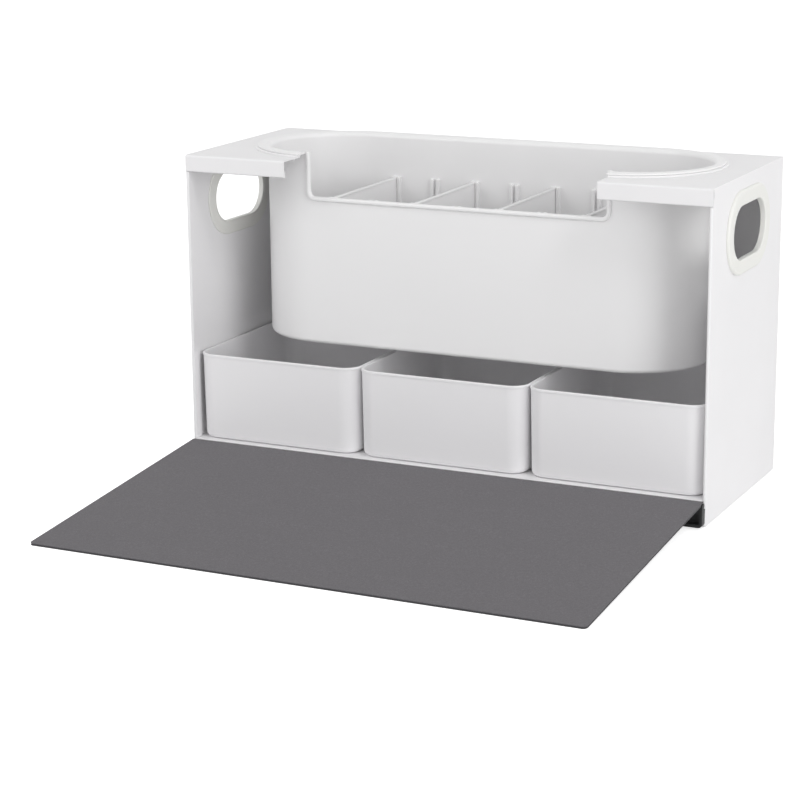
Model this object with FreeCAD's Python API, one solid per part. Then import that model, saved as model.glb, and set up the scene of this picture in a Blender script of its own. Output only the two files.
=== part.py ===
"""Hobby workstation organizer: steel housing, hanging tub, three bins and a fold-down flap.

Millimetres, +X to the right, +Y to the back, +Z up. The origin is on the resting surface,
under the middle of the housing. The flap is modelled open, with its far edge on that surface.
"""
import FreeCAD, Part
import math
import os

Vector = FreeCAD.Vector

# ---- housing ----------------------------------------------------------------
HOUSING_WIDTH = 516.0
HOUSING_DEPTH = 204.0
HOUSING_HEIGHT = 300.0       # resting surface to the top panel's upper face
SHEET = 1.2                  # steel sheet
HEM_THICKNESS = 3.0          # front edge folded back on itself
HEM_RETURN = 11.0            # length of the folded-back strip
HEM_CLEARANCE = 1.0          # flanges start this far behind the hem
BEND = 2.0                   # outer radius of a right-angle bend
SIDE_BACK_FLANGE = 16.0      # side panel's flange along the back
SIDE_BOTTOM_FLANGE = 20.0    # side panel's flange along the bottom
SIDE_TOP_FLANGE = 12.0       # side panel's flange under the top panel
TOP_BACK_FLANGE = 12.0
SEAM = 0.1                   # gap between panels that meet edge to edge
LIP_HEIGHT = 16.0            # folded lip on the front of the top panel
LIP_HEM_RETURN = 6.0
ENTRY_HALF_WIDTH = 153.5     # half the notch that opens the top panel to the front
FOOT_HEIGHT = 2.0
FOOT_RADIUS = 8.0
FOOT_INSET = 20.0            # corner foot from the housing's front and back

# ---- base deck --------------------------------------------------------------
DECK_TOP = 26.0
DECK_FOOT_FLANGE = 14.0
DECK_BACK_GAP = 1.0
BRACE_WIDTH = 40.0
BRACE_FLANGE = 12.0

# ---- carry holes ------------------------------------------------------------
GRIP_FROM_FRONT = 98.0       # middle of the hole, from the front of the housing
GRIP_BELOW_TOP = 50.0
GRIP_HALF_LENGTH = 46.0
GRIP_HALF_HEIGHT = 24.0
GRIP_SLEEVE = 2.0            # wall of the sleeve through the panel
GRIP_FLANGE = 13.5           # flange width, from the opening's edge
GRIP_FLANGE_THICKNESS = 3.0
GRIP_ROUND = 2.0
GRIP_INNER_THICKNESS = 1.4   # frame on the wall's inner face
GRIP_INNER_ROUND = 1.0
GRIP_FIT = 0.05

# ---- tub --------------------------------------------------------------------
TUB_FROM_FRONT = 112.5       # tub's long axis, from the front of the housing
TUB_HALF_STRAIGHT = 149.5    # half the distance between the end arcs' centres
TUB_RADIUS = 71.5            # end arcs, outer face
TUB_WALL = 2.5
TUB_BOTTOM = 121.0
TUB_BOTTOM_ROUND = 4.0
TUB_RIM_THICKNESS = 1.6
TUB_MOUTH_ROUND = 5.0        # inner edge of the mouth, which flares into the rim
TUB_RIM_ROOT_ROUND = 2.0     # under the rim, where it leaves the body
TUB_NOTCH_HALF_WIDTH = 147.5
TUB_NOTCH_LEVEL = 261.5      # height of the notch's lower edge
TUB_NOTCH_CORNER = 5.0
NOTCH_LIP_WIDTH = 4.0
NOTCH_LIP_PROUD = 2.5
SLOT_COUNT = 7
SLOT_PITCH = 42.0
SLOT_GAP = 2.4
RIB_THICKNESS = 3.6
RIB_DEPTH = 4.0
DIVIDER_SLOTS = (-3, -1, 1, 3)
DIVIDER_THICKNESS = 2.0
DIVIDER_END_GAP = 0.4
DIVIDER_CORNER = 7.0
DIVIDER_BEAD = 3.4           # thickness of the rolled top edge
DIVIDER_BEAD_HEIGHT = 3.0
RIM_SEAT_GAP = 0.1

# ---- cut-out, its trim and the tub's rim, which share one plan shape -------------
RING_FORWARD = 2.5           # their long axis, in front of the tub's
RING_SHORTER = 2.5           # their end arcs' centres, in from the tub's
COLLAR_CLEARANCE = 5.5       # inner face of the trim, out from the tub's end arcs
RIM_OVERLAP = 5.5            # tub's rim, out from the inner face of the trim
TRIM_WALL = 1.5
TRIM_SHOW = 2.5              # trim's flange on the panel, out from the tub's rim
TRIM_THICKNESS = 1.5
TRIM_DEPTH = 5.0             # collar below the top panel's upper face
TRIM_CATCH = 1.6             # catch under the panel

# ---- bins -------------------------------------------------------------------
BIN_COUNT = 3
BIN_DEPTH = 190.0
BIN_HEIGHT = 83.0
BIN_FROM_FRONT = 3.0
BIN_GAP = 0.6                # beside and between the bins
BIN_FLOOR_GAP = 0.2
BIN_CORNER = 17.0
BIN_WALL = 2.0
BIN_TAPER = 1.2              # each side, from the rim down to the floor
BIN_BOTTOM_ROUND = 5.0
BIN_RIM_PROUD = 0.6
BIN_RIM_HEIGHT = 2.4

# ---- hinge spine, pin and flap -------------------------------------------------
HINGE_FORWARD = 4.6          # axis in front of the housing's front
HINGE_HEIGHT = 22.2
KNUCKLE_RADIUS = 2.6
PIN_RADIUS = 1.3
PIN_FIT = 0.02
FLAP_BORE_CLEARANCE = 0.08
SPINE_EAR = 3.6              # length of the knuckle that closes each end of the spine
SPINE_EAR_REACH = 2.4        # its post in front of the axis
SPINE_INSET = 0.4            # spine's end inside the housing's side
SPINE_WEB = 2.4
SPINE_RIM = 3.0
SPINE_BELOW_AXIS = 3.4       # spine's upper rim below the axis
SPINE_ABOVE_FLOOR = 2.4
SPINE_FOOT_CORNER = 4.0      # lower corners, seen from the front
SPINE_EDGE_ROUND = 0.8
FIXED_KNUCKLE = 18.0         # length of the spine's knuckles
FIXED_KNUCKLE_PITCH = 126.0
FIXED_KNUCKLE_COUNT = 4
FLAP_KNUCKLE = 40.0          # length of the flap's knuckles
KNUCKLE_SIDE_GAP = 0.4
FLAP_LENGTH = 277.5          # hinge axis to far edge
FLAP_INSET = 0.6             # flap's side inside the spine's end
FLAP_BACKING_LEVEL = 1.1     # underside of the backing above the axis, square to the flap
FLAP_BACKING = 0.4
FLAP_CORE = 1.2
FLAP_MAT = 0.8
FLAP_CORE_START = 3.1        # along the flap, from the axis
MAT_BEHIND_AXIS = 2.4        # mat covers the knuckles
FLAP_CORNER = 4.0
MAT_OVERHANG = 0.4           # covering beyond the stiff core

# ---- screws and magnets --------------------------------------------------------
SCREW_RADIUS = 1.7
SCREW_FIT = 0.05
SCREW_HEAD_RADIUS = 3.3
SCREW_HEAD_HEIGHT = 1.4
SCREW_LENGTH = 6.0
SCREW_DRIVE_RADIUS = 1.1
SCREW_DRIVE_DEPTH = 0.7
BACK_SCREW_COUNT = 4         # each side
BACK_SCREW_LOWEST = 36.0
BACK_SCREW_BELOW_TOP = 18.0
BACK_SCREW_INSET = 9.0
DECK_SCREW_INSET = 11.0
DECK_SCREW_SPREAD = 60.0
SPINE_SCREW_COUNT = 5
SPINE_SCREW_PITCH = 100.0
SPINE_SCREW_LEVEL = 10.4
MAGNET_RADIUS = 3.0
MAGNET_THICKNESS = 2.6
HOLDER_LENGTH = 26.0
HOLDER_DEPTH = 5.0
HOLDER_HEIGHT = 7.6
HOLDER_FROM_SIDE = 52.0
HOLDER_ROUND = 1.0

# ---- levels and faces worked out from the sizes above -----------------------------
RIGHT = HOUSING_WIDTH / 2
FRONT = -HOUSING_DEPTH / 2
BACK = HOUSING_DEPTH / 2
HEM_END = FRONT + HEM_RETURN + HEM_CLEARANCE
TOP = HOUSING_HEIGHT
GRIP_Y = FRONT + GRIP_FROM_FRONT
GRIP_Z = TOP - GRIP_BELOW_TOP
TUB_Y = FRONT + TUB_FROM_FRONT
TUB_FRONT = TUB_Y - TUB_RADIUS
TUB_BACK = TUB_Y + TUB_RADIUS
TUB_FLOOR = TUB_BOTTOM + TUB_WALL
RIM_SEAT = TOP + TRIM_THICKNESS + RIM_SEAT_GAP
TUB_TOP = RIM_SEAT + TUB_RIM_THICKNESS
RING_Y = TUB_Y - RING_FORWARD
RING_HALF_STRAIGHT = TUB_HALF_STRAIGHT - RING_SHORTER
COLLAR_RADIUS = TUB_RADIUS + COLLAR_CLEARANCE
RIM_RADIUS = COLLAR_RADIUS + RIM_OVERLAP
TRIM_RADIUS = RIM_RADIUS + TRIM_SHOW
RIM_FRONT = RING_Y - RIM_RADIUS
CUT_RADIUS = COLLAR_RADIUS + TRIM_WALL
HINGE_Y = FRONT - HINGE_FORWARD
HINGE_Z = HINGE_HEIGHT
SPINE_FRONT = HINGE_Y - KNUCKLE_RADIUS
SPINE_END = RIGHT - SPINE_INSET
SPINE_TOP = HINGE_Z - SPINE_BELOW_AXIS
FLAP_HALF_WIDTH = SPINE_END - FLAP_INSET
FLAP_TILT = math.degrees(math.atan2(HINGE_Z, FLAP_LENGTH)
                         + math.asin(FLAP_BACKING_LEVEL / math.hypot(HINGE_Z, FLAP_LENGTH)))
CORE_LEVEL = FLAP_BACKING_LEVEL + FLAP_BACKING
MAT_LEVEL = CORE_LEVEL + FLAP_CORE
BIN_SPACE = HOUSING_WIDTH - 2 * HEM_THICKNESS
BIN_WIDTH = (BIN_SPACE - (BIN_COUNT + 1) * BIN_GAP) / BIN_COUNT
BIN_BOTTOM = DECK_TOP + BIN_FLOOR_GAP
BACK_SHEET_FRONT = BACK - 2 * SHEET
DECK_BACK = BACK_SHEET_FRONT - DECK_BACK_GAP
DECK_HALF = RIGHT - SHEET - SEAM
PAST = 1.0                   # how far a cutter runs past what it cuts
NEAR = 0.01                  # slack when edges are picked by place


def block(x0, x1, y0, y1, z0, z1):
    """Box between two corners."""
    return Part.makeBox(x1 - x0, y1 - y0, z1 - z0, Vector(x0, y0, z0))


def rod(radius, start, end):
    """Cylinder from one point to another."""
    run = end - start
    return Part.makeCylinder(radius, run.Length, start, run)


def joined(shapes):
    """One solid from pieces that overlap or meet."""
    return shapes[0].fuse(shapes[1:]).removeSplitter()


def mirrored(shape):
    """The same shape on the other side of the middle plane."""
    return shape.mirror(Vector(0, 0, 0), Vector(1, 0, 0))


def outline(steps, place):
    """Closed wire through 2-D steps: a point for a line, a pair (through, end) for an arc."""
    edges = []
    here = place(*steps[0])
    for step in steps[1:] + [steps[0]]:
        if isinstance(step[0], tuple):
            through, there = place(*step[0]), place(*step[1])
            edges.append(Part.Arc(here, through, there).toShape())
        else:
            there = place(*step)
            if (there - here).Length > 1e-6:
                edges.append(Part.LineSegment(here, there).toShape())
        here = there
    return Part.Wire(edges)


def stadium(half_length, radius, place):
    """Round-ended slot outline; half_length is measured to the tip."""
    flat = half_length - radius
    return outline([(-flat, -radius),
                    (flat, -radius),
                    ((half_length, 0.0), (flat, radius)),
                    (-flat, radius),
                    ((-half_length, 0.0), (-flat, -radius))], place)


def slab(wire, run):
    """Solid swept from a closed flat wire along a vector."""
    return Part.Face(wire).extrude(run)


def tub_stadium(radius, z0, z1):
    """Solid with the tub's plan shape, its end arcs of the given radius."""
    place = lambda u, v: Vector(u, TUB_Y + v, z0)
    return slab(stadium(TUB_HALF_STRAIGHT + radius, radius, place), Vector(0, 0, z1 - z0))


def ring_stadium(radius, z0, z1):
    """Solid with the cut-out's plan shape, its end arcs of the given radius."""
    place = lambda u, v: Vector(u, RING_Y + v, z0)
    return slab(stadium(RING_HALF_STRAIGHT + radius, radius, place), Vector(0, 0, z1 - z0))


def grip_stadium(offset, x0, x1):
    """Solid with the carry hole's shape, grown all round by offset."""
    place = lambda u, v: Vector(x0, GRIP_Y + u, GRIP_Z + v)
    wire = stadium(GRIP_HALF_LENGTH + offset, GRIP_HALF_HEIGHT + offset, place)
    return slab(wire, Vector(x1 - x0, 0, 0))


def edges_where(shape, test):
    """Edges whose whole bounding box passes a test."""
    return [edge for edge in shape.Edges if test(edge.BoundBox)]


def rounded_box_wire(half_x, y0, y1, z, radius):
    """Rounded rectangle in a level plane, centred on x = 0."""
    far = radius * (1 - math.sqrt(0.5))
    place = lambda u, v: Vector(u, v, z)
    return outline([(-half_x + radius, y0),
                    (half_x - radius, y0),
                    ((half_x - far, y0 + far), (half_x, y0 + radius)),
                    (half_x, y1 - radius),
                    ((half_x - far, y1 - far), (half_x - radius, y1)),
                    (-half_x + radius, y1),
                    ((-half_x + far, y1 - far), (-half_x, y1 - radius)),
                    (-half_x, y0 + radius),
                    ((-half_x + far, y0 + far), (-half_x + radius, y0))], place)


def screw(tip_direction, seat):
    """Pan-head screw: its head's underside is at seat, its tip along tip_direction."""
    tip = Vector(*tip_direction)
    crown = seat - tip * SCREW_HEAD_HEIGHT
    head = rod(SCREW_HEAD_RADIUS, seat, crown)
    head = head.makeFillet(SCREW_HEAD_HEIGHT * 0.6, [head.Edges[0]])
    drive = rod(SCREW_DRIVE_RADIUS, crown - tip * PAST, crown + tip * SCREW_DRIVE_DEPTH)
    return joined([head, rod(SCREW_RADIUS, seat, seat + tip * SCREW_LENGTH)]).cut(drive)


def screw_hole(tip_direction, seat):
    """Clearance hole for a screw through the sheets that it joins."""
    tip = Vector(*tip_direction)
    return rod(SCREW_RADIUS + SCREW_FIT, seat - tip * PAST, seat + tip * (SCREW_LENGTH + PAST))


def back_screw_seats():
    """Seats of the screws that hold the back panel to the side panels."""
    x = RIGHT - BACK_SCREW_INSET
    pitch = (TOP - BACK_SCREW_BELOW_TOP - BACK_SCREW_LOWEST) / (BACK_SCREW_COUNT - 1)
    return [Vector(side * x, BACK, BACK_SCREW_LOWEST + n * pitch)
            for side in (-1, 1) for n in range(BACK_SCREW_COUNT)]


def deck_screw_seats():
    """Seats of the screws that hold the deck down to the side panels."""
    x = RIGHT - DECK_SCREW_INSET
    return [Vector(side * x, row * DECK_SCREW_SPREAD, FOOT_HEIGHT)
            for side in (-1, 1) for row in (-1, 0, 1)]


def spine_screw_seats():
    """Seats of the screws that hold the spine to the deck's apron."""
    first = -(SPINE_SCREW_COUNT - 1) / 2
    return [Vector((first + n) * SPINE_SCREW_PITCH, FRONT - SPINE_WEB, SPINE_SCREW_LEVEL)
            for n in range(SPINE_SCREW_COUNT)]


def fixed_knuckle_places():
    """Middles of the spine's own knuckles along the hinge."""
    first = -(FIXED_KNUCKLE_COUNT - 1) / 2
    return [(first + n) * FIXED_KNUCKLE_PITCH for n in range(FIXED_KNUCKLE_COUNT)]


# ---- steel housing --------------------------------------------------------------
def side_panel_right():
    """Right wall: hemmed front edge, flanges at back, bottom and top, carry hole."""
    roll = HEM_THICKNESS / 2
    inner_roll = roll - SHEET
    inner_bend = BEND - SHEET
    slant = 1 - math.sqrt(0.5)
    place = lambda u, v: Vector(RIGHT - v, FRONT + u, FOOT_HEIGHT)
    depth = HOUSING_DEPTH
    steps = [(roll, 0.0),
             ((0.0, roll), (roll, HEM_THICKNESS)),
             (HEM_RETURN, HEM_THICKNESS),
             (HEM_RETURN, HEM_THICKNESS - SHEET),
             (roll, HEM_THICKNESS - SHEET),
             ((roll - inner_roll, roll), (roll, SHEET)),
             (depth - BEND, SHEET),
             ((depth - BEND + inner_bend * math.sqrt(0.5), BEND - inner_bend * math.sqrt(0.5)),
              (depth - SHEET, BEND)),
             (depth - SHEET, SIDE_BACK_FLANGE),
             (depth, SIDE_BACK_FLANGE),
             (depth, BEND),
             ((depth - BEND * slant, BEND * slant), (depth - BEND, 0.0))]
    wall = slab(outline(steps, place), Vector(0, 0, TOP - SHEET - FOOT_HEIGHT))
    bottom = block(RIGHT - SIDE_BOTTOM_FLANGE, RIGHT - SHEET / 2,
                   HEM_END, BACK_SHEET_FRONT,
                   FOOT_HEIGHT, FOOT_HEIGHT + SHEET)
    top = block(RIGHT - SIDE_TOP_FLANGE, RIGHT - SHEET / 2,
                HEM_END, BACK_SHEET_FRONT - SEAM,
                TOP - 2 * SHEET, TOP - SHEET)
    panel = joined([wall, bottom, top])
    lip_room = block(RIGHT - HEM_RETURN, RIGHT + PAST, FRONT - PAST,
                     FRONT + HEM_THICKNESS + SEAM, TOP - LIP_HEIGHT - SEAM, TOP)
    back_lip_room = block(RIGHT - SIDE_BACK_FLANGE - PAST, RIGHT - BEND, BACK - SHEET - PAST / 2,
                          BACK + PAST, TOP - TOP_BACK_FLANGE - SEAM, TOP)
    hole = grip_stadium(GRIP_SLEEVE + GRIP_FIT, RIGHT - HEM_THICKNESS, RIGHT + PAST)
    cutters = [lip_room, back_lip_room, hole]
    cutters += [screw_hole((0, -1, 0), seat) for seat in back_screw_seats() if seat.x > 0]
    cutters += [screw_hole((0, 0, 1), seat) for seat in deck_screw_seats() if seat.x > 0]
    return panel.cut(cutters)


def top_panel():
    """Top with front lips, a back flange, the long cut-out and the notch to the front."""
    roll = HEM_THICKNESS / 2
    inner_roll = roll - SHEET
    inner_bend = BEND - SHEET
    slant = 1 - math.sqrt(0.5)
    near = inner_bend * slant + SHEET
    place = lambda u, v: Vector(-RIGHT, FRONT + u, TOP - v)
    depth = HOUSING_DEPTH
    back_top = depth - BEND
    steps = [(BEND, 0.0),
             (back_top, 0.0),
             ((depth - BEND * slant, BEND * slant), (depth, BEND)),
             (depth, TOP_BACK_FLANGE),
             (depth - SHEET, TOP_BACK_FLANGE),
             (depth - SHEET, BEND),
             ((depth - near, near), (back_top, SHEET)),
             (BEND, SHEET),
             ((near, near), (SHEET, BEND)),
             (SHEET, LIP_HEIGHT - roll),
             ((roll, LIP_HEIGHT - roll + inner_roll), (HEM_THICKNESS - SHEET, LIP_HEIGHT - roll)),
             (HEM_THICKNESS - SHEET, LIP_HEIGHT - LIP_HEM_RETURN),
             (HEM_THICKNESS, LIP_HEIGHT - LIP_HEM_RETURN),
             (HEM_THICKNESS, LIP_HEIGHT - roll),
             ((roll, LIP_HEIGHT), (0.0, LIP_HEIGHT - roll)),
             (0.0, BEND),
             ((BEND * slant, BEND * slant), (BEND, 0.0))]
    sheet = slab(outline(steps, place), Vector(HOUSING_WIDTH, 0, 0))
    cutters = [ring_stadium(CUT_RADIUS, TOP - SHEET - PAST, TOP + PAST),
               block(-ENTRY_HALF_WIDTH, ENTRY_HALF_WIDTH, FRONT - PAST, RING_Y,
                     TOP - LIP_HEIGHT - PAST, TOP + PAST)]
    for side in (-1, 1):
        x0, x1 = sorted((side * (RIGHT - SIDE_BACK_FLANGE - SEAM), side * (RIGHT + PAST)))
        cutters.append(block(x0, x1, BACK - BEND, BACK + PAST, TOP - TOP_BACK_FLANGE - PAST,
                             TOP - SHEET))
    return sheet.cut(cutters)


def back_panel():
    """Flat back sheet behind the side panels' flanges."""
    half = RIGHT - BEND
    sheet = block(-half, half, BACK_SHEET_FRONT, BACK - SHEET, FOOT_HEIGHT, TOP - BEND)
    return sheet.cut([screw_hole((0, -1, 0), seat) for seat in back_screw_seats()])


def base_deck():
    """Raised floor: deck, front apron, back apron, side legs and foot flanges."""
    leg_low = FOOT_HEIGHT + SHEET
    sheets = [block(-DECK_HALF, DECK_HALF, FRONT, DECK_BACK, DECK_TOP - SHEET, DECK_TOP),
              block(-DECK_HALF, DECK_HALF, DECK_BACK - SHEET, DECK_BACK, leg_low, DECK_TOP)]
    for side in (-1, 1):
        x0, x1 = sorted((side * DECK_HALF, side * (DECK_HALF - SHEET)))
        sheets.append(block(x0, x1, HEM_END, DECK_BACK, leg_low, DECK_TOP))
        x0, x1 = sorted((side * DECK_HALF, side * (DECK_HALF - DECK_FOOT_FLANGE)))
        sheets.append(block(x0, x1, HEM_END, DECK_BACK, leg_low,
                            leg_low + SHEET))
    apron_half = RIGHT - HEM_THICKNESS - SEAM
    sheets.append(block(-apron_half, apron_half, FRONT, FRONT + SHEET, leg_low, DECK_TOP))
    deck = joined(sheets)
    for side in (-1, 1):
        x0, x1 = sorted((side * apron_half, side * (RIGHT + PAST)))
        deck = deck.cut(block(x0, x1, FRONT - PAST, HEM_END,
                              leg_low - PAST, DECK_TOP + PAST))
    nose = edges_where(deck, lambda b: b.YMax < FRONT + NEAR and b.ZMin > DECK_TOP - NEAR)
    deck = deck.makeFillet(SHEET * 0.8, nose)
    cutters = [screw_hole((0, 0, 1), seat) for seat in deck_screw_seats()]
    cutters += [screw_hole((0, 1, 0), seat) for seat in spine_screw_seats()]
    return deck.cut(cutters)


def deck_brace():
    """Hat channel under the middle of the deck, from the front apron to the back one."""
    half = BRACE_WIDTH / 2
    top = DECK_TOP - SHEET
    low = FOOT_HEIGHT
    y0, y1 = FRONT + SCREW_LENGTH, DECK_BACK - SHEET
    sheets = [block(-half, half, y0, y1, low, low + SHEET)]
    for side in (-1, 1):
        x0, x1 = sorted((side * half, side * (half - SHEET)))
        sheets.append(block(x0, x1, y0, y1, low, top))
        x0, x1 = sorted((side * (half - SHEET), side * (half + BRACE_FLANGE)))
        sheets.append(block(x0, x1, y0, y1, top - SHEET, top))
    return joined(sheets)


def feet():
    """Four corner feet and one in the middle."""
    x = RIGHT - SIDE_BOTTOM_FLANGE / 2
    y = HOUSING_DEPTH / 2 - FOOT_INSET
    places = [(0.0, 0.0)] + [(i * x, j * y) for i in (-1, 1) for j in (-1, 1)]
    discs = []
    for px, py in places:
        disc = rod(FOOT_RADIUS, Vector(px, py, FOOT_HEIGHT), Vector(px, py, 0))
        rim = edges_where(disc, lambda b: b.ZMax < NEAR)
        discs.append(disc.makeFillet(FOOT_HEIGHT * 0.4, rim))
    return Part.makeCompound(discs)


def top_trim():
    """Edge trim of the cut-out: flange on the panel, collar through it, catch below."""
    parts = [ring_stadium(TRIM_RADIUS, TOP, TOP + TRIM_THICKNESS),
             ring_stadium(CUT_RADIUS, TOP - TRIM_DEPTH, TOP + TRIM_THICKNESS),
             ring_stadium(CUT_RADIUS + TRIM_CATCH, TOP - TRIM_DEPTH, TOP - SHEET - SEAM)]
    ring = joined(parts)
    rim = edges_where(ring, lambda b: b.ZMin > TOP + TRIM_THICKNESS - NEAR)
    ring = ring.makeFillet(TRIM_THICKNESS * 0.6, rim)
    inside = ring_stadium(COLLAR_RADIUS, TOP - TRIM_DEPTH - PAST, TOP + TRIM_THICKNESS + PAST)
    entry = block(-ENTRY_HALF_WIDTH, ENTRY_HALF_WIDTH, FRONT, RING_Y,
                  TOP - TRIM_DEPTH - PAST, TOP + TRIM_THICKNESS + PAST)
    return ring.cut([inside, entry])


def grommet_right_outer():
    """Outer frame of the carry hole: flange outside and sleeve through the wall."""
    face = RIGHT + GRIP_FLANGE_THICKNESS
    flange = grip_stadium(GRIP_FLANGE, RIGHT, face)
    flange = flange.makeFillet(GRIP_ROUND, edges_where(flange, lambda b: b.XMin > face - NEAR))
    inner_face = RIGHT - SHEET - GRIP_INNER_THICKNESS
    sleeve = grip_stadium(GRIP_SLEEVE, inner_face, RIGHT + SHEET)
    frame = joined([flange, sleeve]).cut(grip_stadium(0.0, inner_face - PAST, face + PAST))
    mouth = edges_where(frame, lambda b: b.XMin > face - NEAR)
    return frame.makeFillet(GRIP_SLEEVE * 0.5, mouth)


def grommet_right_inner():
    """Inner frame, a ring on the sleeve against the wall's inner face."""
    wall = RIGHT - SHEET
    face = wall - GRIP_INNER_THICKNESS
    ring = grip_stadium(GRIP_FLANGE, face, wall)
    ring = ring.makeFillet(GRIP_INNER_ROUND, edges_where(ring, lambda b: b.XMax < face + NEAR))
    return ring.cut(grip_stadium(GRIP_SLEEVE + GRIP_FIT, face - PAST, wall + PAST))


def magnet_places():
    """Middles of the two catches, on the back of the lips' front sheet."""
    z = TOP - BEND - SEAM - HOLDER_HEIGHT / 2
    x = RIGHT - HOLDER_FROM_SIDE
    return [Vector(side * x, FRONT + SHEET, z) for side in (-1, 1)]


def magnet_pocket(place, grow):
    """Space of one magnet; grow is added to its radius."""
    start = place + Vector(0, SEAM, 0)
    return rod(MAGNET_RADIUS + grow, start, start + Vector(0, MAGNET_THICKNESS, 0))


def catch_magnets():
    """One magnet behind each lip."""
    return Part.makeCompound([magnet_pocket(place, 0.0) for place in magnet_places()])


def magnet_holders():
    """Block that carries each magnet against its lip."""
    holders = []
    for place in magnet_places():
        holder = block(place.x - HOLDER_LENGTH / 2, place.x + HOLDER_LENGTH / 2,
                       place.y, place.y + HOLDER_DEPTH,
                       place.z - HOLDER_HEIGHT / 2, place.z + HOLDER_HEIGHT / 2)
        back = edges_where(holder, lambda b: b.YMin > place.y + HOLDER_DEPTH - NEAR)
        holder = holder.makeFillet(HOLDER_ROUND, back)
        pocket = magnet_pocket(place, SCREW_FIT)
        mouth = rod(MAGNET_RADIUS + SCREW_FIT, place - Vector(0, PAST, 0),
                    place + Vector(0, SEAM * 2, 0))
        holders.append(holder.cut([pocket, mouth]))
    return Part.makeCompound(holders)


# ---- tub and dividers --------------------------------------------------------------
def tub_shell():
    """Hollow body with rounded bottom edge, its mouth flared into a flat rim."""
    outer = tub_stadium(TUB_RADIUS, TUB_BOTTOM, TUB_TOP)
    outer = outer.makeFillet(TUB_BOTTOM_ROUND,
                             edges_where(outer, lambda b: b.ZMax < TUB_BOTTOM + NEAR))
    rim = ring_stadium(RIM_RADIUS, RIM_SEAT, TUB_TOP)
    rim = rim.makeFillet(TUB_RIM_THICKNESS * 0.6,
                         edges_where(rim, lambda b: b.ZMin > TUB_TOP - NEAR))
    shell = joined([outer, rim])
    inside = TUB_HALF_STRAIGHT + TUB_RADIUS + NEAR
    root = edges_where(shell, lambda b: b.ZMin > RIM_SEAT - NEAR and b.ZMax < RIM_SEAT + NEAR
                       and b.XMax < inside and b.XMin > -inside
                       and b.YMin > TUB_FRONT - NEAR and b.YMax < TUB_BACK + NEAR)
    shell = shell.makeFillet(TUB_RIM_ROOT_ROUND, root)
    inner = tub_stadium(TUB_RADIUS - TUB_WALL, TUB_FLOOR, TUB_TOP + PAST)
    inner = inner.makeFillet(TUB_BOTTOM_ROUND - TUB_WALL,
                             edges_where(inner, lambda b: b.ZMax < TUB_FLOOR + NEAR))
    shell = shell.cut(inner)
    mouth = edges_where(shell, lambda b: b.ZMin > TUB_TOP - NEAR and b.YMin > TUB_FRONT
                        and b.YMax < TUB_BACK)
    shell = shell.makeFillet(TUB_MOUTH_ROUND, mouth)
    end = TUB_NOTCH_HALF_WIDTH + NOTCH_LIP_WIDTH
    entry = block(-end, end, RIM_FRONT - PAST, TUB_FRONT,
                  RIM_SEAT - TUB_RIM_ROOT_ROUND - PAST, TUB_TOP + PAST)
    return shell.cut(entry)


def notch_window(grow, y0, y1):
    """Round-cornered notch opening, grown sideways and down by grow."""
    half = TUB_NOTCH_HALF_WIDTH + grow
    low = TUB_NOTCH_LEVEL - grow
    radius = TUB_NOTCH_CORNER + grow
    far = radius * (1 - math.sqrt(0.5))
    high = TUB_TOP if grow else TUB_TOP + PAST
    place = lambda u, v: Vector(u, y0, v)
    wire = outline([(-half, high),
                    (-half, low + radius),
                    ((-half + far, low + far), (-half + radius, low)),
                    (half - radius, low),
                    ((half - far, low + far), (half, low + radius)),
                    (half, high)], place)
    return slab(wire, Vector(0, y1 - y0, 0))


def rib_pairs():
    """Ribs on the long walls, two for each divider slot."""
    ribs = []
    inner_front = TUB_FRONT + TUB_WALL
    inner_back = TUB_BACK - TUB_WALL
    for n in range(SLOT_COUNT):
        middle = (n - (SLOT_COUNT - 1) / 2) * SLOT_PITCH
        for side in (-1, 1):
            near = middle + side * SLOT_GAP / 2
            x0, x1 = sorted((near, near + side * RIB_THICKNESS))
            for y0, y1 in ((inner_front - TUB_WALL / 2, inner_front + RIB_DEPTH),
                           (inner_back - RIB_DEPTH, inner_back + TUB_WALL / 2)):
                ribs.append(block(x0, x1, y0, y1, TUB_FLOOR - TUB_WALL / 2, TUB_NOTCH_LEVEL))
    return ribs


def tub():
    """Hanging tub with notch, beaded notch lip and slot ribs."""
    lip = notch_window(NOTCH_LIP_WIDTH, TUB_FRONT - NOTCH_LIP_PROUD, TUB_FRONT + TUB_WALL)
    body = tub_shell().fuse(lip)
    opening = notch_window(0.0, RIM_FRONT - PAST, TUB_FRONT + TUB_WALL + PAST)
    body = body.cut(opening)
    return body.fuse(rib_pairs()).removeSplitter()


def divider(slot):
    """Plate in one slot, with a thicker top edge between the ribs."""
    x = slot * SLOT_PITCH
    half = DIVIDER_THICKNESS / 2
    y0 = TUB_FRONT + TUB_WALL + DIVIDER_END_GAP
    y1 = TUB_BACK - TUB_WALL - DIVIDER_END_GAP
    low = TUB_FLOOR + DIVIDER_END_GAP
    far = DIVIDER_CORNER * (1 - math.sqrt(0.5))
    place = lambda u, v: Vector(x - half, u, v)
    wire = outline([(y0, TUB_NOTCH_LEVEL),
                    (y0, low + DIVIDER_CORNER),
                    ((y0 + far, low + far), (y0 + DIVIDER_CORNER, low)),
                    (y1 - DIVIDER_CORNER, low),
                    ((y1 - far, low + far), (y1, low + DIVIDER_CORNER)),
                    (y1, TUB_NOTCH_LEVEL)], place)
    plate = slab(wire, Vector(DIVIDER_THICKNESS, 0, 0))
    margin = RIB_DEPTH + 2 * DIVIDER_END_GAP
    bead = block(x - DIVIDER_BEAD / 2, x + DIVIDER_BEAD / 2, y0 + margin, y1 - margin,
                 TUB_NOTCH_LEVEL - DIVIDER_BEAD_HEIGHT, TUB_NOTCH_LEVEL)
    return joined([plate, bead])


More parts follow.
